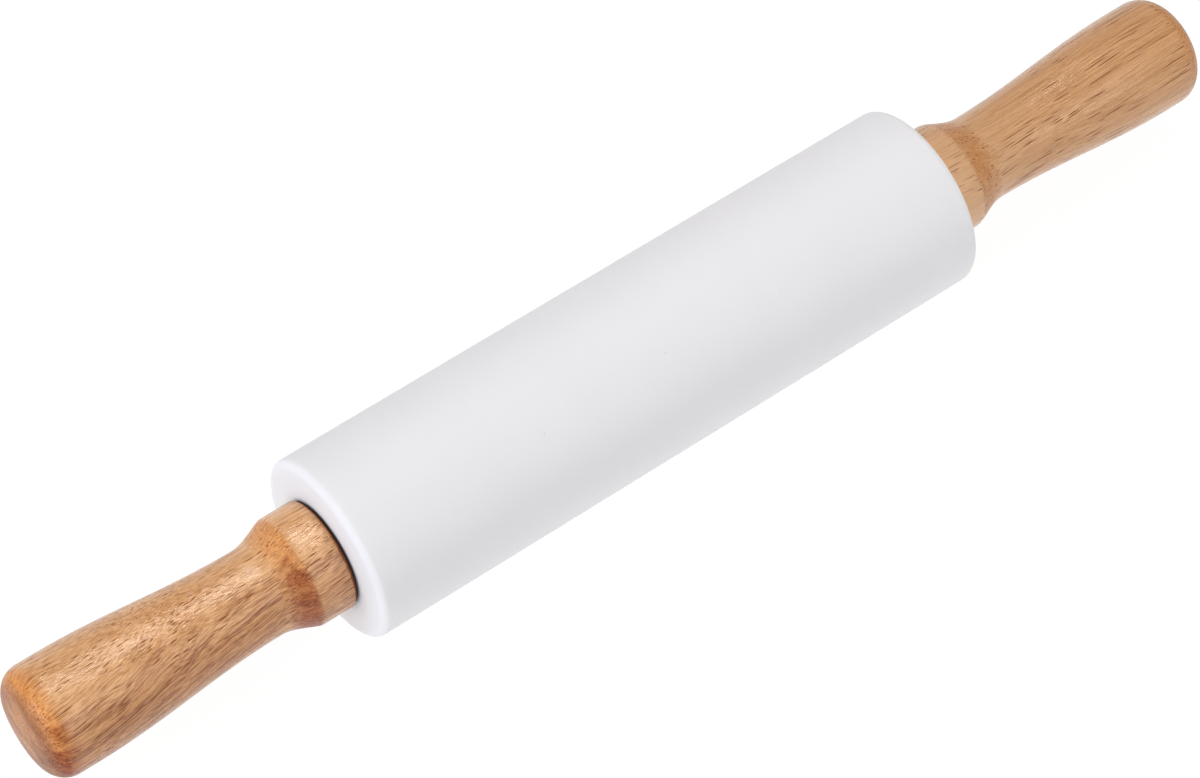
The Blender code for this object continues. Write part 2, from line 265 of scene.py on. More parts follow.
def finish_piece(name, mesh):
    """Point the faces outwards, shade them smooth up to the creases and make the object."""
    shape = bmesh.new()
    shape.from_mesh(mesh)
    bmesh.ops.recalc_face_normals(shape, faces=shape.faces)
    open_edges = sum(1 for edge in shape.edges if len(edge.link_faces) != 2)
    shape.to_mesh(mesh)
    shape.free()
    mesh.shade_smooth()
    mesh.set_sharp_from_angle(angle=crease_angle)
    mesh.name = name
    piece = bpy.data.objects.new(name, mesh)
    bpy.context.collection.objects.link(piece)
    print(f"{name}: {len(mesh.polygons)} faces, {open_edges} open edges")
    return piece


# %% [markdown]
# Silicone. The skin is platinum cured silicone rubber, moulded. It is soft to the eye: light goes
# a little way in and comes out again, so edges glow faintly. Plain white paint would look hard,
# so the shader gets some subsurface light. The surface is matt, because the mould is blasted.
# The blasted grain is much finer than 0.35 mm, and is drawn that coarse so that it shows. A few
# specks of dust stick to it, as they always do to silicone.

# %% Material: moulded white silicone
def new_material(name):
    """A new material, its tree and its shader, which is already joined to the output."""
    material = bpy.data.materials.new(name)
    material.use_nodes = True
    tree = material.node_tree
    tree.nodes.clear()
    shader = add_node(tree, "ShaderNodeBsdfPrincipled")
    add_node(tree, "ShaderNodeOutputMaterial", {"Surface": shader.outputs["BSDF"]})
    return material, tree, shader


def silicone_finish():
    """White silicone rubber from a blasted mould, with a little dust on it."""
    material, tree, shader = new_material("silicone_moulded_white")
    spot = add_node(tree, "ShaderNodeTexCoord", output="Object")
    cloud_size = 22.0 * MM
    clouds = add_node(
        tree, "ShaderNodeTexNoise", {"Vector": spot, "Scale": 1.0 / cloud_size, "Detail": 2.0}, "Fac"
    )
    cloudy = add_node(
        tree,
        "ShaderNodeMix",
        {"Factor_Float": clouds, "A_Color": colour("#e0dfe2"), "B_Color": colour("#e4e3e5")},
        "Result_Color",
        data_type="RGBA",
    )
    speck_spacing = 9.0 * MM
    speck_reach = 0.035
    specks = add_node(
        tree,
        "ShaderNodeTexVoronoi",
        {"Vector": spot, "Scale": 1.0 / speck_spacing},
        feature="F1",
    ).outputs
    speck = add_node(
        tree,
        "ShaderNodeMapRange",
        {
            "Value": specks["Distance"],
            "From Min": speck_reach * 0.4,
            "From Max": speck_reach,
            "To Min": 0.35,
            "To Max": 0.0,
        },
        "Result",
        interpolation_type="SMOOTHSTEP",
    )
    dusty = add_node(
        tree,
        "ShaderNodeMix",
        {"Factor_Float": speck, "A_Color": cloudy, "B_Color": colour("#9d9893")},
        "Result_Color",
        data_type="RGBA",
    )
    blast_size = 0.35 * MM
    blast = add_node(
        tree, "ShaderNodeTexNoise", {"Vector": spot, "Scale": 1.0 / blast_size, "Detail": 1.0}, "Fac"
    )
    bump = add_node(
        tree,
        "ShaderNodeBump",
        {"Height": blast, "Strength": 0.12, "Distance": 0.02 * MM},
        "Normal",
    )
    fill(
        tree,
        shader,
        {
            "Base Color": dusty,
            "Roughness": 0.6,
            "IOR": 1.41,
            "Specular IOR Level": 0.15,
            "Normal": bump,
            "Subsurface Weight": 0.4,
            "Subsurface Radius": (1.0, 0.95, 0.95),
            "Subsurface Scale": 2.4 * MM,
        },
    )
    return material


silicone = silicone_finish()
print("finish made:", silicone.name)

# %% [markdown]
# The roller's skin is one moulding, wrapped over the tube's ends as far as the bushes, with a
# small soft rim. A cylinder with a bevel would have the same outside, but the skin is a real
# wall, open at both ends. So the outline goes once round that wall and ends where it began, and
# the lathe closes it into a ring. Its lowest part is pressed flat where it rests.
#
# Two calls then say what the new mesh is: the CAD piece that it replaces, which is hidden,
# and the body that it rides on.

# %% The silicone skin
skin_thickness = 3.0 * MM
end_skin_thickness = 2.5 * MM
end_opening_radius = 11.5 * MM
rim_radius = 2.2 * MM
skin_sides = 288
rim_steps = 12
barrel_steps = 40


def skin_outline():
    """Once round the wall of the skin: outside, right end, inside, left end."""
    bore = roller_radius - skin_thickness
    inside_end = roller_end - end_skin_thickness
    rim_along = roller_end - rim_radius
    rim_out = roller_radius - rim_radius
    left_rim = arc((-rim_along, rim_out), rim_radius, 180.0, 90.0, rim_steps)
    right_rim = arc((rim_along, rim_out), rim_radius, 90.0, 0.0, rim_steps)
    points = left_rim[:-1]
    points += line(left_rim[-1], right_rim[0], barrel_steps) + right_rim[:-1]
    corners = [
        right_rim[-1],
        (roller_end, end_opening_radius),
        (inside_end, end_opening_radius),
        (inside_end, bore),
        (-inside_end, bore),
        (-inside_end, end_opening_radius),
        (-roller_end, end_opening_radius),
        left_rim[0],
    ]
    steps = (6, 2, 6, barrel_steps, 6, 2, 6)
    for start, end, count in zip(corners, corners[1:], steps):
        points += line(start, end, count)
    return points + [left_rim[0]]


skin = turn_piece("silicone_skin", skin_outline(), skin_sides, silicone, lowest=0.0)
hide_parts("silicone_sleeve")
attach(skin, roller_body)

# %% [markdown]
# Wood. The handles are rubberwood, a pale tropical hardwood, turned and sprayed with satin
# lacquer. Its vessels are fine tubes along the trunk. Where the lathe cuts along them they show
# as long lines, where it cuts them at a slant as short dashes, and in the shoulder and at the
# butt, where it cuts across them, as dots. A picture of wood wrapped round the handle would
# stretch there and show a seam. So the pattern is a solid one: it fills the plank, and the
# surface cuts it as the real tool does.
#
# First come the places in the plank. Its fibres lean a little against the handle's axis, sweep
# to one side about half way along it, and wander, as the fibres of a real tree do. Every pattern
# gets its size in millimetres, along, across and through the plank.

# %% Places in the plank
def grain_noise(tree, place, size, detail, output="Fac"):
    """Noise with cells of a size in millimetres along, across and through the plank."""
    scaled = add_node(
        tree,
        "ShaderNodeVectorMath",
        {"Vector": place, "Vector_001": tuple(1.0 / (side * MM) for side in size)},
        "Vector",
        operation="MULTIPLY",
    )
    return add_node(
        tree, "ShaderNodeTexNoise", {"Vector": scaled, "Scale": 1.0, "Detail": detail}, output
    )


def wandering(tree, place, size, reach):
    """Push places sideways by a noise. Its reach is in millimetres, across and through."""
    noise = grain_noise(tree, place, size, detail=1.0, output="Color")
    noise_middle = (0.5, 0.5, 0.5)
    centred = add_node(
        tree,
        "ShaderNodeVectorMath",
        {"Vector": noise, "Vector_001": noise_middle},
        "Vector",
        operation="SUBTRACT",
    )
    # The centred noise goes half a unit each way, so it is stretched to twice the reach.
    stretch = (0.0, 2.0 * reach[0] * MM, 2.0 * reach[1] * MM)
    return add_node(
        tree,
        "ShaderNodeVectorMath",
        {"Vector": centred, "Vector_001": stretch, "Vector_002": place},
        "Vector",
        operation="MULTIPLY_ADD",
    )


slow_cell = (30.0, 14.0, 14.0)
quick_cell = (8.0, 4.0, 4.0)


def fibre_places(tree, plank):
    """Places as the plank's fibres see them: X runs along a fibre, Z through the year layers."""
    spot = add_node(tree, "ShaderNodeTexCoord", output="Object")
    leaning = add_node(
        tree,
        "ShaderNodeMapping",
        {"Vector": spot, "Location": plank["heart"], "Rotation": plank["lean"]},
        "Vector",
        vector_type="POINT",
    )
    along = add_node(tree, "ShaderNodeSeparateXYZ", {"Vector": spot}).outputs["X"]
    sweep_start, sweep_end, sweep_reach = plank["sweep"]
    swept = add_node(
        tree,
        "ShaderNodeMapRange",
        {
            "Value": along,
            "From Min": sweep_start * MM,
            "From Max": sweep_end * MM,
            "To Min": 0.0,
            "To Max": -sweep_reach * MM,
        },
        "Result",
        interpolation_type="SMOOTHSTEP",
    )
    sideways = add_node(tree, "ShaderNodeCombineXYZ", {"Y": swept}, "Vector")
    bent = add_node(
        tree,
        "ShaderNodeVectorMath",
        {"Vector": leaning, "Vector_001": sideways},
        "Vector",
        operation="ADD",
    )
    slowly = wandering(tree, bent, slow_cell, plank["slow_wander"])
    return wandering(tree, slowly, quick_cell, plank["quick_wander"])


print("the fibres stray over", slow_cell[0], "and", quick_cell[0], "mm")

# %% [markdown]
# The two planks. Each handle was cut from its own billet, so each has its own wood. The near
# handle is the left one, and the far handle the right one.
#
# - heart: the place in the plank that the handle's middle was cut from, in metres.
# - lean: how the plank was turned against the handle's axis.
# - sweep: where along X the fibres begin and stop bending, and how far, in millimetres.
# - slow_wander and quick_wander: how far the fibres stray across and through the plank.
# - vessel: its length, the distance to the next one, and the share of it that the tube fills.
# - heartwood: where across the plank the browner wood begins, and over what spread, in metres.
# - heart_at_butt: how much sooner it begins at the butt, in millimetres.
# - paler, lacquer and bleed: how pale the collar is, partly lighter wood and partly a painted
#   sheen, how glossy the lacquer is, and how much of it has soaked in round the butt's corner.

# %% Choose the two planks
near_plank = {
    "heart": (0.0, 0.013, 0.041),
    "lean": (math.radians(-20.0), math.radians(5.0), 0.0),
    "sweep": (-186.0, -118.0, 7.0),
    "slow_wander": (2.4, 1.0),
    "quick_wander": (0.35, 0.15),
    "vessel": (28.0, 0.6, 0.29),
    "heartwood": (0.0131, 0.0135),
    "heart_at_butt": 2.0,
    "pale_and_sheen": 0.12,
    "lacquer": 0.78,
    "bleed": 0.8,
}
far_plank = {
    "heart": (0.2, 0.037, 0.019),
    "lean": (math.radians(-60.0), math.radians(1.8), 0.0),
    "sweep": (100.0, 180.0, 2.0),
    "slow_wander": (1.3, 1.0),
    "quick_wander": (0.25, 0.2),
    "vessel": (26.0, 0.62, 0.28),
    "heartwood": (0.037, 0.03),
    "heart_at_butt": 0.0,
    "pale_and_sheen": 0.34,
    "lacquer": 0.9,
    "bleed": 0.15,
}
print("the near plank leans", [round(math.degrees(turn)) for turn in near_plank["lean"]], "degrees")

# %% [markdown]
# The vessels. A texture of cells, drawn out along the fibres, holds one tube in each: whatever
# lies close to the middle of its cell is inside the tube. Real tubes in a mesh would be far too
# many. A real vessel is about 0.2 mm wide, which is finer than a picture of the whole pin can
# show, so the tubes here are about 0.3 mm. No two are filled with the same amount of dark
# lacquer, and each cell's own random colour gives that.

# %% Vessels cut open by the lathe
tube_core = 0.5
tube_edge = 1.25
palest_vessel = 0.25
pale_cell = 0.3
dark_cell = 0.65


def vessel_marks(tree, place, plank):
    """How much of a vessel shows: 1 in a dark one, 0 in the wood between them."""
    length, width, fill_share = plank["vessel"]
    cells = (1.0 / (length * MM), 1.0 / (width * MM), 1.0 / (width * MM))
    cell_place = add_node(
        tree,
        "ShaderNodeVectorMath",
        {"Vector": place, "Vector_001": cells},
        "Vector",
        operation="MULTIPLY",
    )
    tube = add_node(
        tree, "ShaderNodeTexVoronoi", {"Vector": cell_place, "Scale": 1.0}, feature="F1"
    ).outputs
    inside = add_node(
        tree,
        "ShaderNodeMapRange",
        {
            "Value": tube["Distance"],
            "From Min": tube_core * fill_share,
            "From Max": tube_edge * fill_share,
            "To Min": 1.0,
            "To Max": 0.0,
        },
        "Result",
        interpolation_type="SMOOTHSTEP",
    )
    darkness = add_node(
        tree,
        "ShaderNodeMapRange",
        {
            "Value": tube["Color"],
            "From Min": pale_cell,
            "From Max": dark_cell,
            "To Min": palest_vessel,
            "To Max": 1.0,
        },
        "Result",
    )
    return add_node(
        tree, "ShaderNodeMath", {"Value": inside, "Value_001": darkness}, "Value", operation="MULTIPLY"
    )


print("vessels drawn", near_plank["vessel"][1] * near_plank["vessel"][2] * 2.0, "mm wide")

# %% [markdown]
# Cut ends. Where the surface lies across the fibres, the wood drinks more lacquer and turns
# orange, as in the shoulder and round the butt's corner, and less of it stays on top to shine.
# The flat of the butt was sealed first, so it is duller, in bands that follow the year layers,
# and its vessels are faint. The collar is a little lighter than the rest: partly lighter wood,
# and partly a painted sheen.
#
# How far a place is cut across is the cosine between the way it faces and the way the fibres
# run. Every effect is a share that goes smoothly from one amount to another, so one table gives
# them all: what the share depends on, from where to where, and its amount at both.

# %% How far the wood is cut across, and what that does
def cut_across(tree, plank):
    """From 0, cut along the fibres, to 1, cut square across them."""
    facing = add_node(
        tree, "ShaderNodeAttribute", output="Vector", attribute_type="GEOMETRY", attribute_name="facing"
    )
    # The lean turns the pin's places into the plank, so its inverse turns the fibres back.
    fibre_way = Euler(plank["lean"]).to_matrix().transposed() @ Vector((1.0, 0.0, 0.0))
    cosine = add_node(
        tree,
        "ShaderNodeVectorMath",
        {"Vector": facing, "Vector_001": fibre_way},
        "Value",
        operation="DOT_PRODUCT",
    )
    return add_node(tree, "ShaderNodeMath", {"Value": cosine}, "Value", operation="ABSOLUTE")


band_size = (40.0, 12.0, 3.2)


def wood_shares(tree, place, out_along, plank):
    """The named shares of this wood, each as a socket."""
    endness = cut_across(tree, plank)
    bands = grain_noise(tree, place, band_size, detail=1.0)
    table = {
        "bled": (out_along, 179.5 * MM, 184.5 * MM, 0.0, plank["bleed"]),
        "drinks": (endness, 0.1, 0.42, 0.0, 1.0),
        "unsealed": (endness, 0.55, 0.97, 1.0, 0.35),
        "butt": (endness, 0.5, 0.98, 0.0, 1.0),
        "dulled": (bands, 0.38, 0.62, 1.0, 0.55),
        "vessels_seen": (endness, 0.6, 0.95, 0.9, 0.45),
        "lacquer": (endness, 0.15, 0.5, plank["lacquer"], 0.42),
        # The collar's lighter share: partly lighter wood, partly a painted sheen.
        "pale_and_sheen": (out_along, 100.0 * MM, 135.0 * MM, plank["pale_and_sheen"], 0.0),
    }
    shares = {}
    for name, (value, start, end, first, last) in table.items():
        shares[name] = add_node(
            tree,
            "ShaderNodeMapRange",
            {"Value": value, "From Min": start, "From Max": end, "To Min": first, "To Max": last},
            "Result",
            interpolation_type="SMOOTHSTEP",
        )
    return shares


print("bands on the butt are about", band_size[2], "mm wide")

# %% [markdown]
# Fine grain. Streaks of fibre are the finest, and drawn wider than their real 0.1 mm so that
# they show. Year layers are fine through the plank and broad across it, so they show as close
# lines on one side of the handle and as broad patches on the other. Flecks are the short cut
# fibres, and break up both the colour and the shine.

# %% Streaks, year layers and flecks
streak_size = (28.0, 0.36, 0.36)
layer_size = (60.0, 5.0, 0.8)
fleck_size = (2.2, 0.32, 0.32)
layer_weight = 0.45
fleck_weight = 0.4
fleck_relief = 1.2
lightest_grain = 0.76
darkest_grain = 1.1


def fine_grain(tree, place):
    """The grain's tone, from 0, light, to 1, dark, and its relief."""
    streaks = grain_noise(tree, place, streak_size, detail=2.0)
    layers = grain_noise(tree, place, layer_size, detail=1.5)
    flecks = grain_noise(tree, place, fleck_size, detail=1.0)
    lines = add_node(
        tree,
        "ShaderNodeMath",
        {"Value": layers, "Value_001": layer_weight, "Value_002": streaks},
        "Value",
        operation="MULTIPLY_ADD",
    )
    grain = add_node(
        tree,
        "ShaderNodeMath",
        {"Value": flecks, "Value_001": fleck_weight, "Value_002": lines},
        "Value",
        operation="MULTIPLY_ADD",
    )
    relief = add_node(
        tree,
        "ShaderNodeMath",
        {"Value": flecks, "Value_001": fleck_relief, "Value_002": streaks},
        "Value",
        operation="MULTIPLY_ADD",
    )
    tone = add_node(
        tree,
        "ShaderNodeMapRange",
        {"Value": grain, "From Min": lightest_grain, "From Max": darkest_grain},
        "Result",
    )
    return tone, relief


print("year layers are about", layer_size[2], "mm thick")

# %% [markdown]
# Golden wood and heartwood. The golden outer wood and the browner heartwood lie side by side in
# the plank. Their border is patchy, because a noise is added to the slope between them, and it
# comes a little sooner at the butt.

# %% Where the heartwood is
patch_size = (16.0, 4.5, 3.0)
patch_weight = 0.6
slope_low = -0.1
slope_high = 0.5
border_start = 0.36
border_end = 0.64
bulb_start = 148.0 * MM
bulb_end = 186.0 * MM


def heartwood_share(tree, place, patches, out_along, plank):
    """0 in the golden wood and 1 in the heartwood."""
    across = add_node(tree, "ShaderNodeSeparateXYZ", {"Vector": place}).outputs["Y"]
    middle, spread = plank["heartwood"]
    sooner = add_node(
        tree,
        "ShaderNodeMapRange",
        {
            "Value": out_along,
            "From Min": bulb_start,
            "From Max": bulb_end,
            "To Min": 0.0,
            "To Max": -plank["heart_at_butt"] * MM,
        },
        "Result",
    )
    side = add_node(
        tree, "ShaderNodeMath", {"Value": across, "Value_001": sooner}, "Value", operation="ADD"
    )
    slope = add_node(
        tree,
        "ShaderNodeMapRange",
        {
            "Value": side,
            "From Min": middle + spread,
            "From Max": middle - spread,
            "To Min": slope_low,
            "To Max": slope_high,
        },
        "Result",
        clamp=False,
    )
    patchy = add_node(
        tree,
        "ShaderNodeMath",
        {"Value": patches, "Value_001": patch_weight, "Value_002": slope},
        "Value",
        operation="MULTIPLY_ADD",
    )
    return add_node(
        tree,
        "ShaderNodeMapRange",
        {"Value": patchy, "From Min": border_start, "From Max": border_end},
        "Result",
        interpolation_type="SMOOTHSTEP",
    )


print("patches are about", patch_size[0], "mm long")

# %% [markdown]
# The wood's own colours. Both kinds of wood have a light and a dark tone of their own. A third
# colour, for each, is what the drunk lacquer does: it multiplies the dry wood, as a clear stain
# does, so the grain stays visible under it.

# %% Mix the wood's body colour
near_tints = {
    "golden": ("#e2ae7c", "#bd8450", "#fadcac"),
    "heart": ("#cf9663", "#874b26", "#c8801e"),
    "butt": "#bca69c",
    "vessel": "#7c3b12",
}
far_tints = {
    "golden": ("#cf9d6e", "#b88456", "#fbeedd"),
    "heart": ("#c8966a", "#a8724a", "#f8e8d2"),
    "butt": "#cbb8ab",
    "vessel": "#78390c",
}


def body_colour(tree, tone, heartwood, drunk, tints):
    """The colour of the wood between the vessels."""
    shades = []
    for light, dark, soaked in (tints["golden"], tints["heart"]):
        shade = colour(light)
        for amount, tint, blend in ((tone, dark, "MIX"), (drunk, soaked, "MULTIPLY")):
            shade = add_node(
                tree,
                "ShaderNodeMix",
                {"Factor_Float": amount, "A_Color": shade, "B_Color": colour(tint)},
                "Result_Color",
                data_type="RGBA",
                blend_type=blend,
            )
        shades.append(shade)
    return add_node(
        tree,
        "ShaderNodeMix",
        {"Factor_Float": heartwood, "A_Color": shades[0], "B_Color": shades[1]},
        "Result_Color",
        data_type="RGBA",
    )


print("golden wood from", near_tints["golden"][0], "to", near_tints["golden"][1])

# %% [markdown]
# The finished wood. Over the body colour go three thin layers: the lighter collar, which is partly
# a painted sheen, the dull butt and the dark vessels. The lacquer is a clear coat. It has sunk
# into the grain as it dried, so it shines in small broken pieces, and it hardly bridges an open
# vessel.

# %% Material: lacquered rubberwood
# Whitish collar colour: partly the wood's own, partly a painted sheen.
collar_tint_and_sheen = "#f3cca4"
vessel_depth = 0.06 * MM
lacquer_dip = 0.09 * MM
film_lost_at_vessel = 0.8
least_soaked = 0.85


def soaked_share(tree, shares, patches):
    """How much lacquer the wood has drunk, from 0 to 1."""
    deeper = add_node(
        tree,
        "ShaderNodeMath",
        {"Value": shares["drinks"], "Value_001": shares["bled"]},
        "Value",
        operation="MAXIMUM",
    )
    soak = add_node(
        tree,
        "ShaderNodeMath",
        {"Value": deeper, "Value_001": shares["unsealed"]},
        "Value",
        operation="MULTIPLY",
    )
    open_wood = add_node(
        tree,
        "ShaderNodeMapRange",
        {"Value": patches, "From Min": 0.35, "From Max": 0.6, "To Min": least_soaked, "To Max": 1.0},
        "Result",
    )
    return add_node(
        tree, "ShaderNodeMath", {"Value": soak, "Value_001": open_wood}, "Value", operation="MULTIPLY"
    )


def wood_finish(name, plank, tints):
    """Turned rubberwood under satin lacquer, from one plank."""
    material, tree, shader = new_material(name)
    place = fibre_places(tree, plank)
    spot = add_node(tree, "ShaderNodeTexCoord", output="Object")
    along = add_node(tree, "ShaderNodeSeparateXYZ", {"Vector": spot}).outputs["X"]
    out_along = add_node(tree, "ShaderNodeMath", {"Value": along}, "Value", operation="ABSOLUTE")
    shares = wood_shares(tree, place, out_along, plank)
    patches = grain_noise(tree, place, patch_size, detail=1.5)
    heartwood = heartwood_share(tree, place, patches, out_along, plank)
    drunk = soaked_share(tree, shares, patches)
    tone, grain_relief = fine_grain(tree, place)
    surface = body_colour(tree, tone, heartwood, drunk, tints)

    dry = add_node(
        tree, "ShaderNodeMath", {"Value": 1.0, "Value_001": drunk}, "Value", operation="SUBTRACT"
    )
    vessels = vessel_marks(tree, place, plank)
    layers = (
        # The collar's lighter colour, partly a painted sheen, shows where the wood is dry.
        (shares["pale_and_sheen"], dry, collar_tint_and_sheen, "MIX"),
        (shares["butt"], shares["dulled"], tints["butt"], "MULTIPLY"),
        (vessels, shares["vessels_seen"], tints["vessel"], "MIX"),
    )
    for amount, held, tint, blend in layers:
        shown = add_node(
            tree, "ShaderNodeMath", {"Value": amount, "Value_001": held}, "Value", operation="MULTIPLY"
        )
        surface = add_node(
            tree,
            "ShaderNodeMix",
            {"Factor_Float": shown, "A_Color": surface, "B_Color": colour(tint)},
            "Result_Color",
            data_type="RGBA",
            blend_type=blend,
        )

    # The vessels are the last of the three layers, so shown is now how much of a vessel shows.
    relief = add_node(
        tree,
        "ShaderNodeMath",
        {"Value": shown, "Value_001": -1.0, "Value_002": grain_relief},
        "Value",
        operation="MULTIPLY_ADD",
    )
    bumps = [
        add_node(tree, "ShaderNodeBump", {"Height": relief, "Strength": 1.0, "Distance": depth}, "Normal")
        for depth in (vessel_depth, lacquer_dip)
    ]
    bridged = add_node(
        tree,
        "ShaderNodeMath",
        {"Value": shown, "Value_001": -film_lost_at_vessel, "Value_002": 1.0},
        "Value",
        operation="MULTIPLY_ADD",
    )
    film = add_node(
        tree,
        "ShaderNodeMath",
        {"Value": shares["lacquer"], "Value_001": bridged},
        "Value",
        operation="MULTIPLY",
    )
    fill(
        tree,
        shader,
        {
            "Base Color": surface,
            "Roughness": 0.55,
            "IOR": 1.5,
            "Specular IOR Level": 0.1,
            "Normal": bumps[0],
            "Coat Weight": film,
            "Coat Roughness": 0.12,
            "Coat Normal": bumps[1],
        },
    )
    return material


near_wood = wood_finish("rubberwood_lacquered_left", near_plank, near_tints)
far_wood = wood_finish("rubberwood_lacquered_right", far_plank, far_tints)
print("finishes made:", near_wood.name, far_wood.name)

# %% [markdown]
# The handle's outline is what the turner cuts, from the collar's face to the butt: a straight
# collar with a broken edge, a hollow shoulder down to the neck, a slow swell out to the bulb, and
# a rounded butt with a shallow dome. The hollow and the swell are pieces of cosine waves. The
# turner sands the ridge behind the collar, which is done here by averaging the radius over a
# short stretch. A few points and a smooth curve would be quicker to draw, but a rule keeps the
# slope even, and a lacquered handle shows every dent. The hole for the insert is drilled from
# the collar's face.

# %% The handle's outline
collar_face = 98.32 * MM
handle_length = 90.68 * MM
collar_radius = 15.7 * MM
collar_length = 9.78 * MM
collar_edge = 0.9 * MM
shoulder_length = 10.7 * MM
neck_radius = 12.4 * MM
bulb_radius = 15.75 * MM
bulb_length = 5.3 * MM
butt_corner = 6.9 * MM
butt_dome = 2.3 * MM
shoulder_start = math.radians(55.0)

dome_radius = (bulb_radius**2 + butt_dome**2) / (2.0 * butt_dome)
dome_centre = handle_length - dome_radius
corner_out = bulb_radius - butt_corner
corner_along = dome_centre + math.sqrt((dome_radius - butt_corner) ** 2 - corner_out**2)
neck_along = collar_length + shoulder_length
swell_end = corner_along - bulb_length


def cut_radius(along):
    """The radius that the tool leaves at a place along the handle, before sanding."""
    if along <= collar_length:
        return collar_radius
    if along <= neck_along:
        share = (along - collar_length) / shoulder_length
        angle = shoulder_start + (math.pi - shoulder_start) * share
        hollow = (1.0 + math.cos(angle)) / (1.0 + math.cos(shoulder_start))
        return neck_radius + (collar_radius - neck_radius) * hollow
    if along <= swell_end:
        share = (along - neck_along) / (swell_end - neck_along)
        return neck_radius + (bulb_radius - neck_radius) * (1.0 - math.cos(math.pi * share)) / 2.0
    return bulb_radius


sanding_reach = 0.5 * MM
sanding_samples = 9
station_gap = 0.7 * MM


def sanded_radius(along):
    """The mean of the cut radius over a short stretch, which rounds the ridge."""
    places = [
        along + sanding_reach * (2.0 * step / (sanding_samples - 1) - 1.0)
        for step in range(sanding_samples)
    ]
    return sum(cut_radius(place) for place in places) / sanding_samples


def handle_outline():
    """From the bottom of the drilled hole, round the collar and along to the butt."""
    stud_hole = 3.3 * MM
    insert_hole = 5.6 * MM
    stud_depth = 27.0 * MM
    insert_depth = 20.6 * MM
    hole = [
        (stud_depth, 0.0),
        (stud_depth, stud_hole),
        (insert_depth, stud_hole),
        (insert_depth, insert_hole),
        (0.0, insert_hole),
    ]
    collar = arc((collar_edge, collar_radius - collar_edge), collar_edge, 180.0, 90.0, 8)
    stations = round((corner_along - collar_edge) / station_gap)
    grip = []
    for step in range(1, stations):
        along = collar_edge + (corner_along - collar_edge) * step / stations
        grip.append((along, sanded_radius(along)))
    meeting = math.degrees(math.atan2(corner_out, corner_along - dome_centre))
    corner = arc((corner_along, corner_out), butt_corner, 90.0, meeting, 18)
    dome = arc((dome_centre, 0.0), dome_radius, meeting, 0.0, 12)
    return hole + collar + grip + corner + dome[1:-1] + [(handle_length, 0.0)]


handle_sides = 192
print("points on the handle's outline:", len(handle_outline()))

# %% [markdown]
# Both handles come from the same outline. The left one could be a mirrored copy, but then its
# grain would be mirrored too, and no two real handles match. So each is turned by itself, in its
# own wood.

# %% Turn the two handles
for word, side, wood in (("left", -1, near_wood), ("right", 1, far_wood)):
    outline = [(side * (collar_face + along), out) for along, out in handle_outline()]
    handle = turn_piece("turned_handle_" + word, outline, handle_sides, wood)
    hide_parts("handle_" + word)
    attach(handle, handle_body)

# %% [markdown]
# Thrust washers. A thin disc between each handle and the roller keeps wood from rubbing on
# silicone. It is vulcanised fibre, punched from sheet, dull and a little mottled. Its dark brown is
# painted shade: only its edge shows, as the dark line of shadow in the gap round the collar, and
# the same lathe turns it.

# %% Material and pieces: fibre washers, dark as painted gap shade
def washer_gap_shade_finish():
    """Dull sheet with a mottled face, whose dark brown is painted shade for the gap at the collar."""
    material, tree, shader = new_material("fibre_dark_gap_shade")
    spot = add_node(tree, "ShaderNodeTexCoord", output="Object")
    mottle_size = 0.8 * MM
    mottle = add_node(
        tree, "ShaderNodeTexNoise", {"Vector": spot, "Scale": 1.0 / mottle_size, "Detail": 3.0}, "Fac"
    )
    # The two dark browns are painted shade: they stand in for the shadow in the gap at the collar.
    tint = add_node(
        tree,
        "ShaderNodeMix",
        {"Factor_Float": mottle, "A_Color": colour("#37241a"), "B_Color": colour("#4a3224")},
        "Result_Color",
        data_type="RGBA",
    )
    bump = add_node(
        tree, "ShaderNodeBump", {"Height": mottle, "Strength": 0.3, "Distance": 0.02 * MM}, "Normal"
    )
    fill(tree, shader, {"Base Color": tint, "Roughness": 0.7, "Specular IOR Level": 0.2, "Normal": bump})
    return material


# The washers' finish, dark as painted shade for the gap round the collar.
fibre = washer_gap_shade_finish()
washer_bore = 4.2 * MM
washer_radius = 15.0 * MM
washer_inner_face = 97.8 * MM
washer_thickness = 0.5 * MM
washer_outer_face = washer_inner_face + washer_thickness
washer_outline = [
    (washer_inner_face, washer_bore),
    (washer_inner_face, washer_radius),
    (washer_outer_face, washer_radius),
    (washer_outer_face, washer_bore),
    (washer_inner_face, washer_bore),
]
for word, side in (("left", -1), ("right", 1)):
    outline = [(side * along, out) for along, out in washer_outline]
    washer = turn_piece("washer_disc_" + word, outline, handle_sides, fibre)
    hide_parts("thrust_washer_" + word)
    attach(washer, handle_body)

# %% [markdown]
# The hidden pieces keep their CAD meshes. Each gets the finish of what it is made of: moulded
# polypropylene for the tube and plugs, natural nylon for the bushes, ground steel for the shaft,
# and turned brass for the inserts. The metals carry fine rings round the axis, left by the
# wheel and the tool. These pieces differ in colour, grain and gloss alone, so one function
# makes all four finishes.

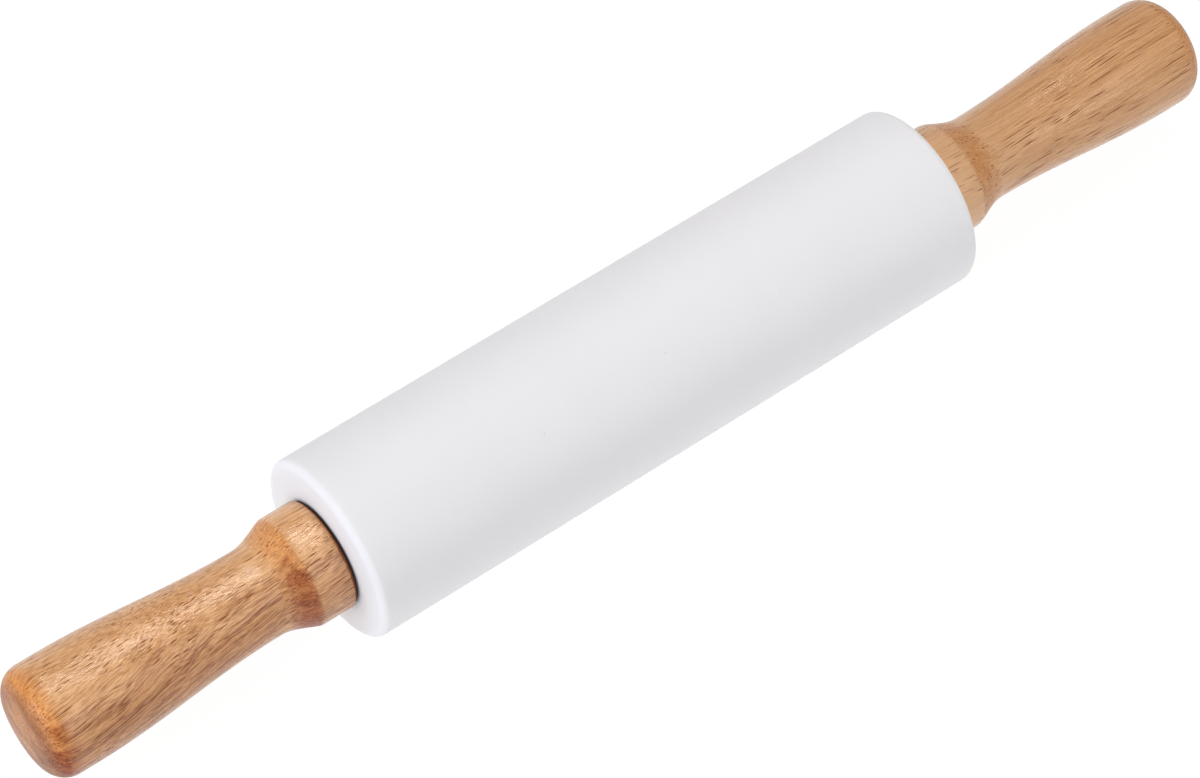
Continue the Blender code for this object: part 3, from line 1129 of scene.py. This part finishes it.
# %% Materials for the pieces inside
def hidden_finish(name, light, dark, grain, roughness, metallic=0.0):
    """A plain finish. Grain is the size of its pattern in millimetres along X, Y and Z."""
    material, tree, shader = new_material(name)
    spot = add_node(tree, "ShaderNodeTexCoord", output="Object")
    scale = tuple(1.0 / (size * MM) for size in grain)
    grain_place = add_node(
        tree,
        "ShaderNodeVectorMath",
        {"Vector": spot, "Vector_001": scale},
        "Vector",
        operation="MULTIPLY",
    )
    pattern = add_node(
        tree, "ShaderNodeTexNoise", {"Vector": grain_place, "Scale": 1.0, "Detail": 3.0}, "Fac"
    )
    tint = add_node(
        tree,
        "ShaderNodeMix",
        {"Factor_Float": pattern, "A_Color": colour(light), "B_Color": colour(dark)},
        "Result_Color",
        data_type="RGBA",
    )
    grain_depth = 0.01 * MM
    bump = add_node(
        tree, "ShaderNodeBump", {"Height": pattern, "Strength": 0.4, "Distance": grain_depth}, "Normal"
    )
    fill(
        tree,
        shader,
        {"Base Color": tint, "Roughness": roughness, "Metallic": metallic, "Normal": bump},
    )
    return material


polypropylene = hidden_finish("polypropylene_moulded", "#d3d3cf", "#c4c4c0", (1.5, 1.5, 1.5), 0.5)
nylon = hidden_finish("nylon_natural_moulded", "#eae3d2", "#ddd4bf", (1.0, 1.0, 1.0), 0.42)
steel = hidden_finish("steel_ground", "#cfd0d2", "#a9abae", (0.25, 6.0, 6.0), 0.3, 1.0)
brass = hidden_finish("brass_turned", "#dcb765", "#b58d3f", (0.3, 5.0, 5.0), 0.34, 1.0)
finishes = {
    "core_tube": polypropylene,
    "end_plug_left": polypropylene,
    "end_plug_right": polypropylene,
    "bush_left": nylon,
    "bush_right": nylon,
    "shaft": steel,
    "threaded_insert_left": brass,
    "threaded_insert_right": brass,
}
for node, finish in finishes.items():
    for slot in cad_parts[node].material_slots:
        slot.material = finish
print("CAD pieces given a finish:", len(finishes))

# %% [markdown]
# The studio. The photograph was taken on a bright white table, so white that the ground has no
# shadow. A plain white board would show one. A sheet of white acrylic lit from below doesn't:
# most of its light is its own, so what the rolling pin shades hardly darkens it. It also lights
# the underside of the pin.

# %% The light table
def table_finish():
    """Hazy white acrylic that is lit from below."""
    material, tree, shader = new_material("acrylic_light_table")
    spot = add_node(tree, "ShaderNodeTexCoord", output="Object")
    haze_size = 333.0 * MM
    haze = add_node(
        tree, "ShaderNodeTexNoise", {"Vector": spot, "Scale": 1.0 / haze_size, "Detail": 1.0}, "Fac"
    )
    tint = add_node(
        tree,
        "ShaderNodeMix",
        {"Factor_Float": haze, "A_Color": colour("#4a4a4a"), "B_Color": colour("#4d4d4d")},
        "Result_Color",
        data_type="RGBA",
    )
    fill(
        tree,
        shader,
        {
            "Base Color": tint,
            "Roughness": 0.9,
            "Specular IOR Level": 0.0,
            "Emission Color": colour("#ffffff"),
            "Emission Strength": 0.96,
        },
    )
    return material


table_half = 6.0
table_drop = 0.02 * MM
table_mesh = bpy.data.meshes.new("light_table")
table_mesh.from_pydata(
    [(x * table_half, y * table_half, -table_drop) for x, y in ((-1, -1), (1, -1), (1, 1), (-1, 1))],
    [],
    [(0, 1, 2, 3)],
)
table_mesh.materials.append(table_finish())
table = bpy.data.objects.new("light_table", table_mesh)
bpy.context.collection.objects.link(table)
print(f"the table is {2 * table_half:.0f} m square")

# %% [markdown]
# Lights. Softboxes are square area lights, and each has one job. The key one, small and high
# behind the pin, gives the band of broken shine along the handles. A wide one overhead fills
# the top. The left one lights the near end of the roller, and the front one its near side. The
# white room gives the rest. A picture of a studio as the world would light it too, but here
# each light can be turned up or down alone.

# %% Softboxes and the white room
aim = Vector((0.0, 0.0, axis_height))


def softbox(name, direction, distance, size, power, tint):
    """A square area light that faces the pin from a direction."""
    lamp = bpy.data.lights.new(name, "AREA")
    lamp.shape = "SQUARE"
    lamp.size = size
    lamp.energy = power
    lamp.color = colour(tint)[:3]
    holder = bpy.data.objects.new(name, lamp)
    towards = Vector(direction).normalized()
    holder.location = aim + towards * distance
    holder.rotation_euler = towards.to_track_quat("Z", "Y").to_euler()
    bpy.context.collection.objects.link(holder)


softbox("key_softbox", (0.21, 0.26, 0.94), 1.17, 0.38, 5.4, "#fffcf5")
softbox("overhead_softbox", (0.0, 0.08, 1.0), 1.6, 0.8, 2.0, "#fffff0")
softbox("left_softbox", (-0.93, 0.0, 0.37), 1.6, 1.2, 18.0, "#f0f7fe")
softbox("front_softbox", (0.2, -0.8, 0.55), 1.6, 1.0, 7.4, "#fdfff8")

world = bpy.data.worlds.new("white_room")
bpy.context.scene.world = world
world.use_nodes = True
room = world.node_tree.nodes["Background"]
room.inputs["Color"].default_value = colour("#f9f6ff")
room.inputs["Strength"].default_value = 0.32
print("lights:", sorted(lamp.name for lamp in bpy.data.lights))

# %% [markdown]
# The camera stands where the photograph was taken from, above the near handle, with a long
# lens, and looks down along the roller. The view transform is Standard, so that a colour from the card
# comes out as it was picked.

# %% The camera
lens_data = bpy.data.cameras.new("photo_camera")
lens_data.lens = 132.93
lens_data.sensor_width = 36.0
lens_data.clip_start = 0.05
lens_data.clip_end = 30.0
camera = bpy.data.objects.new("photo_camera", lens_data)
from_axis = Vector((-0.42478, -0.55270, 0.93282))
look_azimuth = math.radians(-36.897)
look_down = math.radians(53.507)
camera.location = from_axis + Vector((0.0, 0.0, axis_height))
camera.rotation_euler = (math.radians(90.0) - look_down, 0.0, look_azimuth)
bpy.context.collection.objects.link(camera)
bpy.context.scene.camera = camera
bpy.context.scene.view_settings.view_transform = "Standard"
print(f"the camera is {from_axis.length:.2f} m from the middle of the pin")
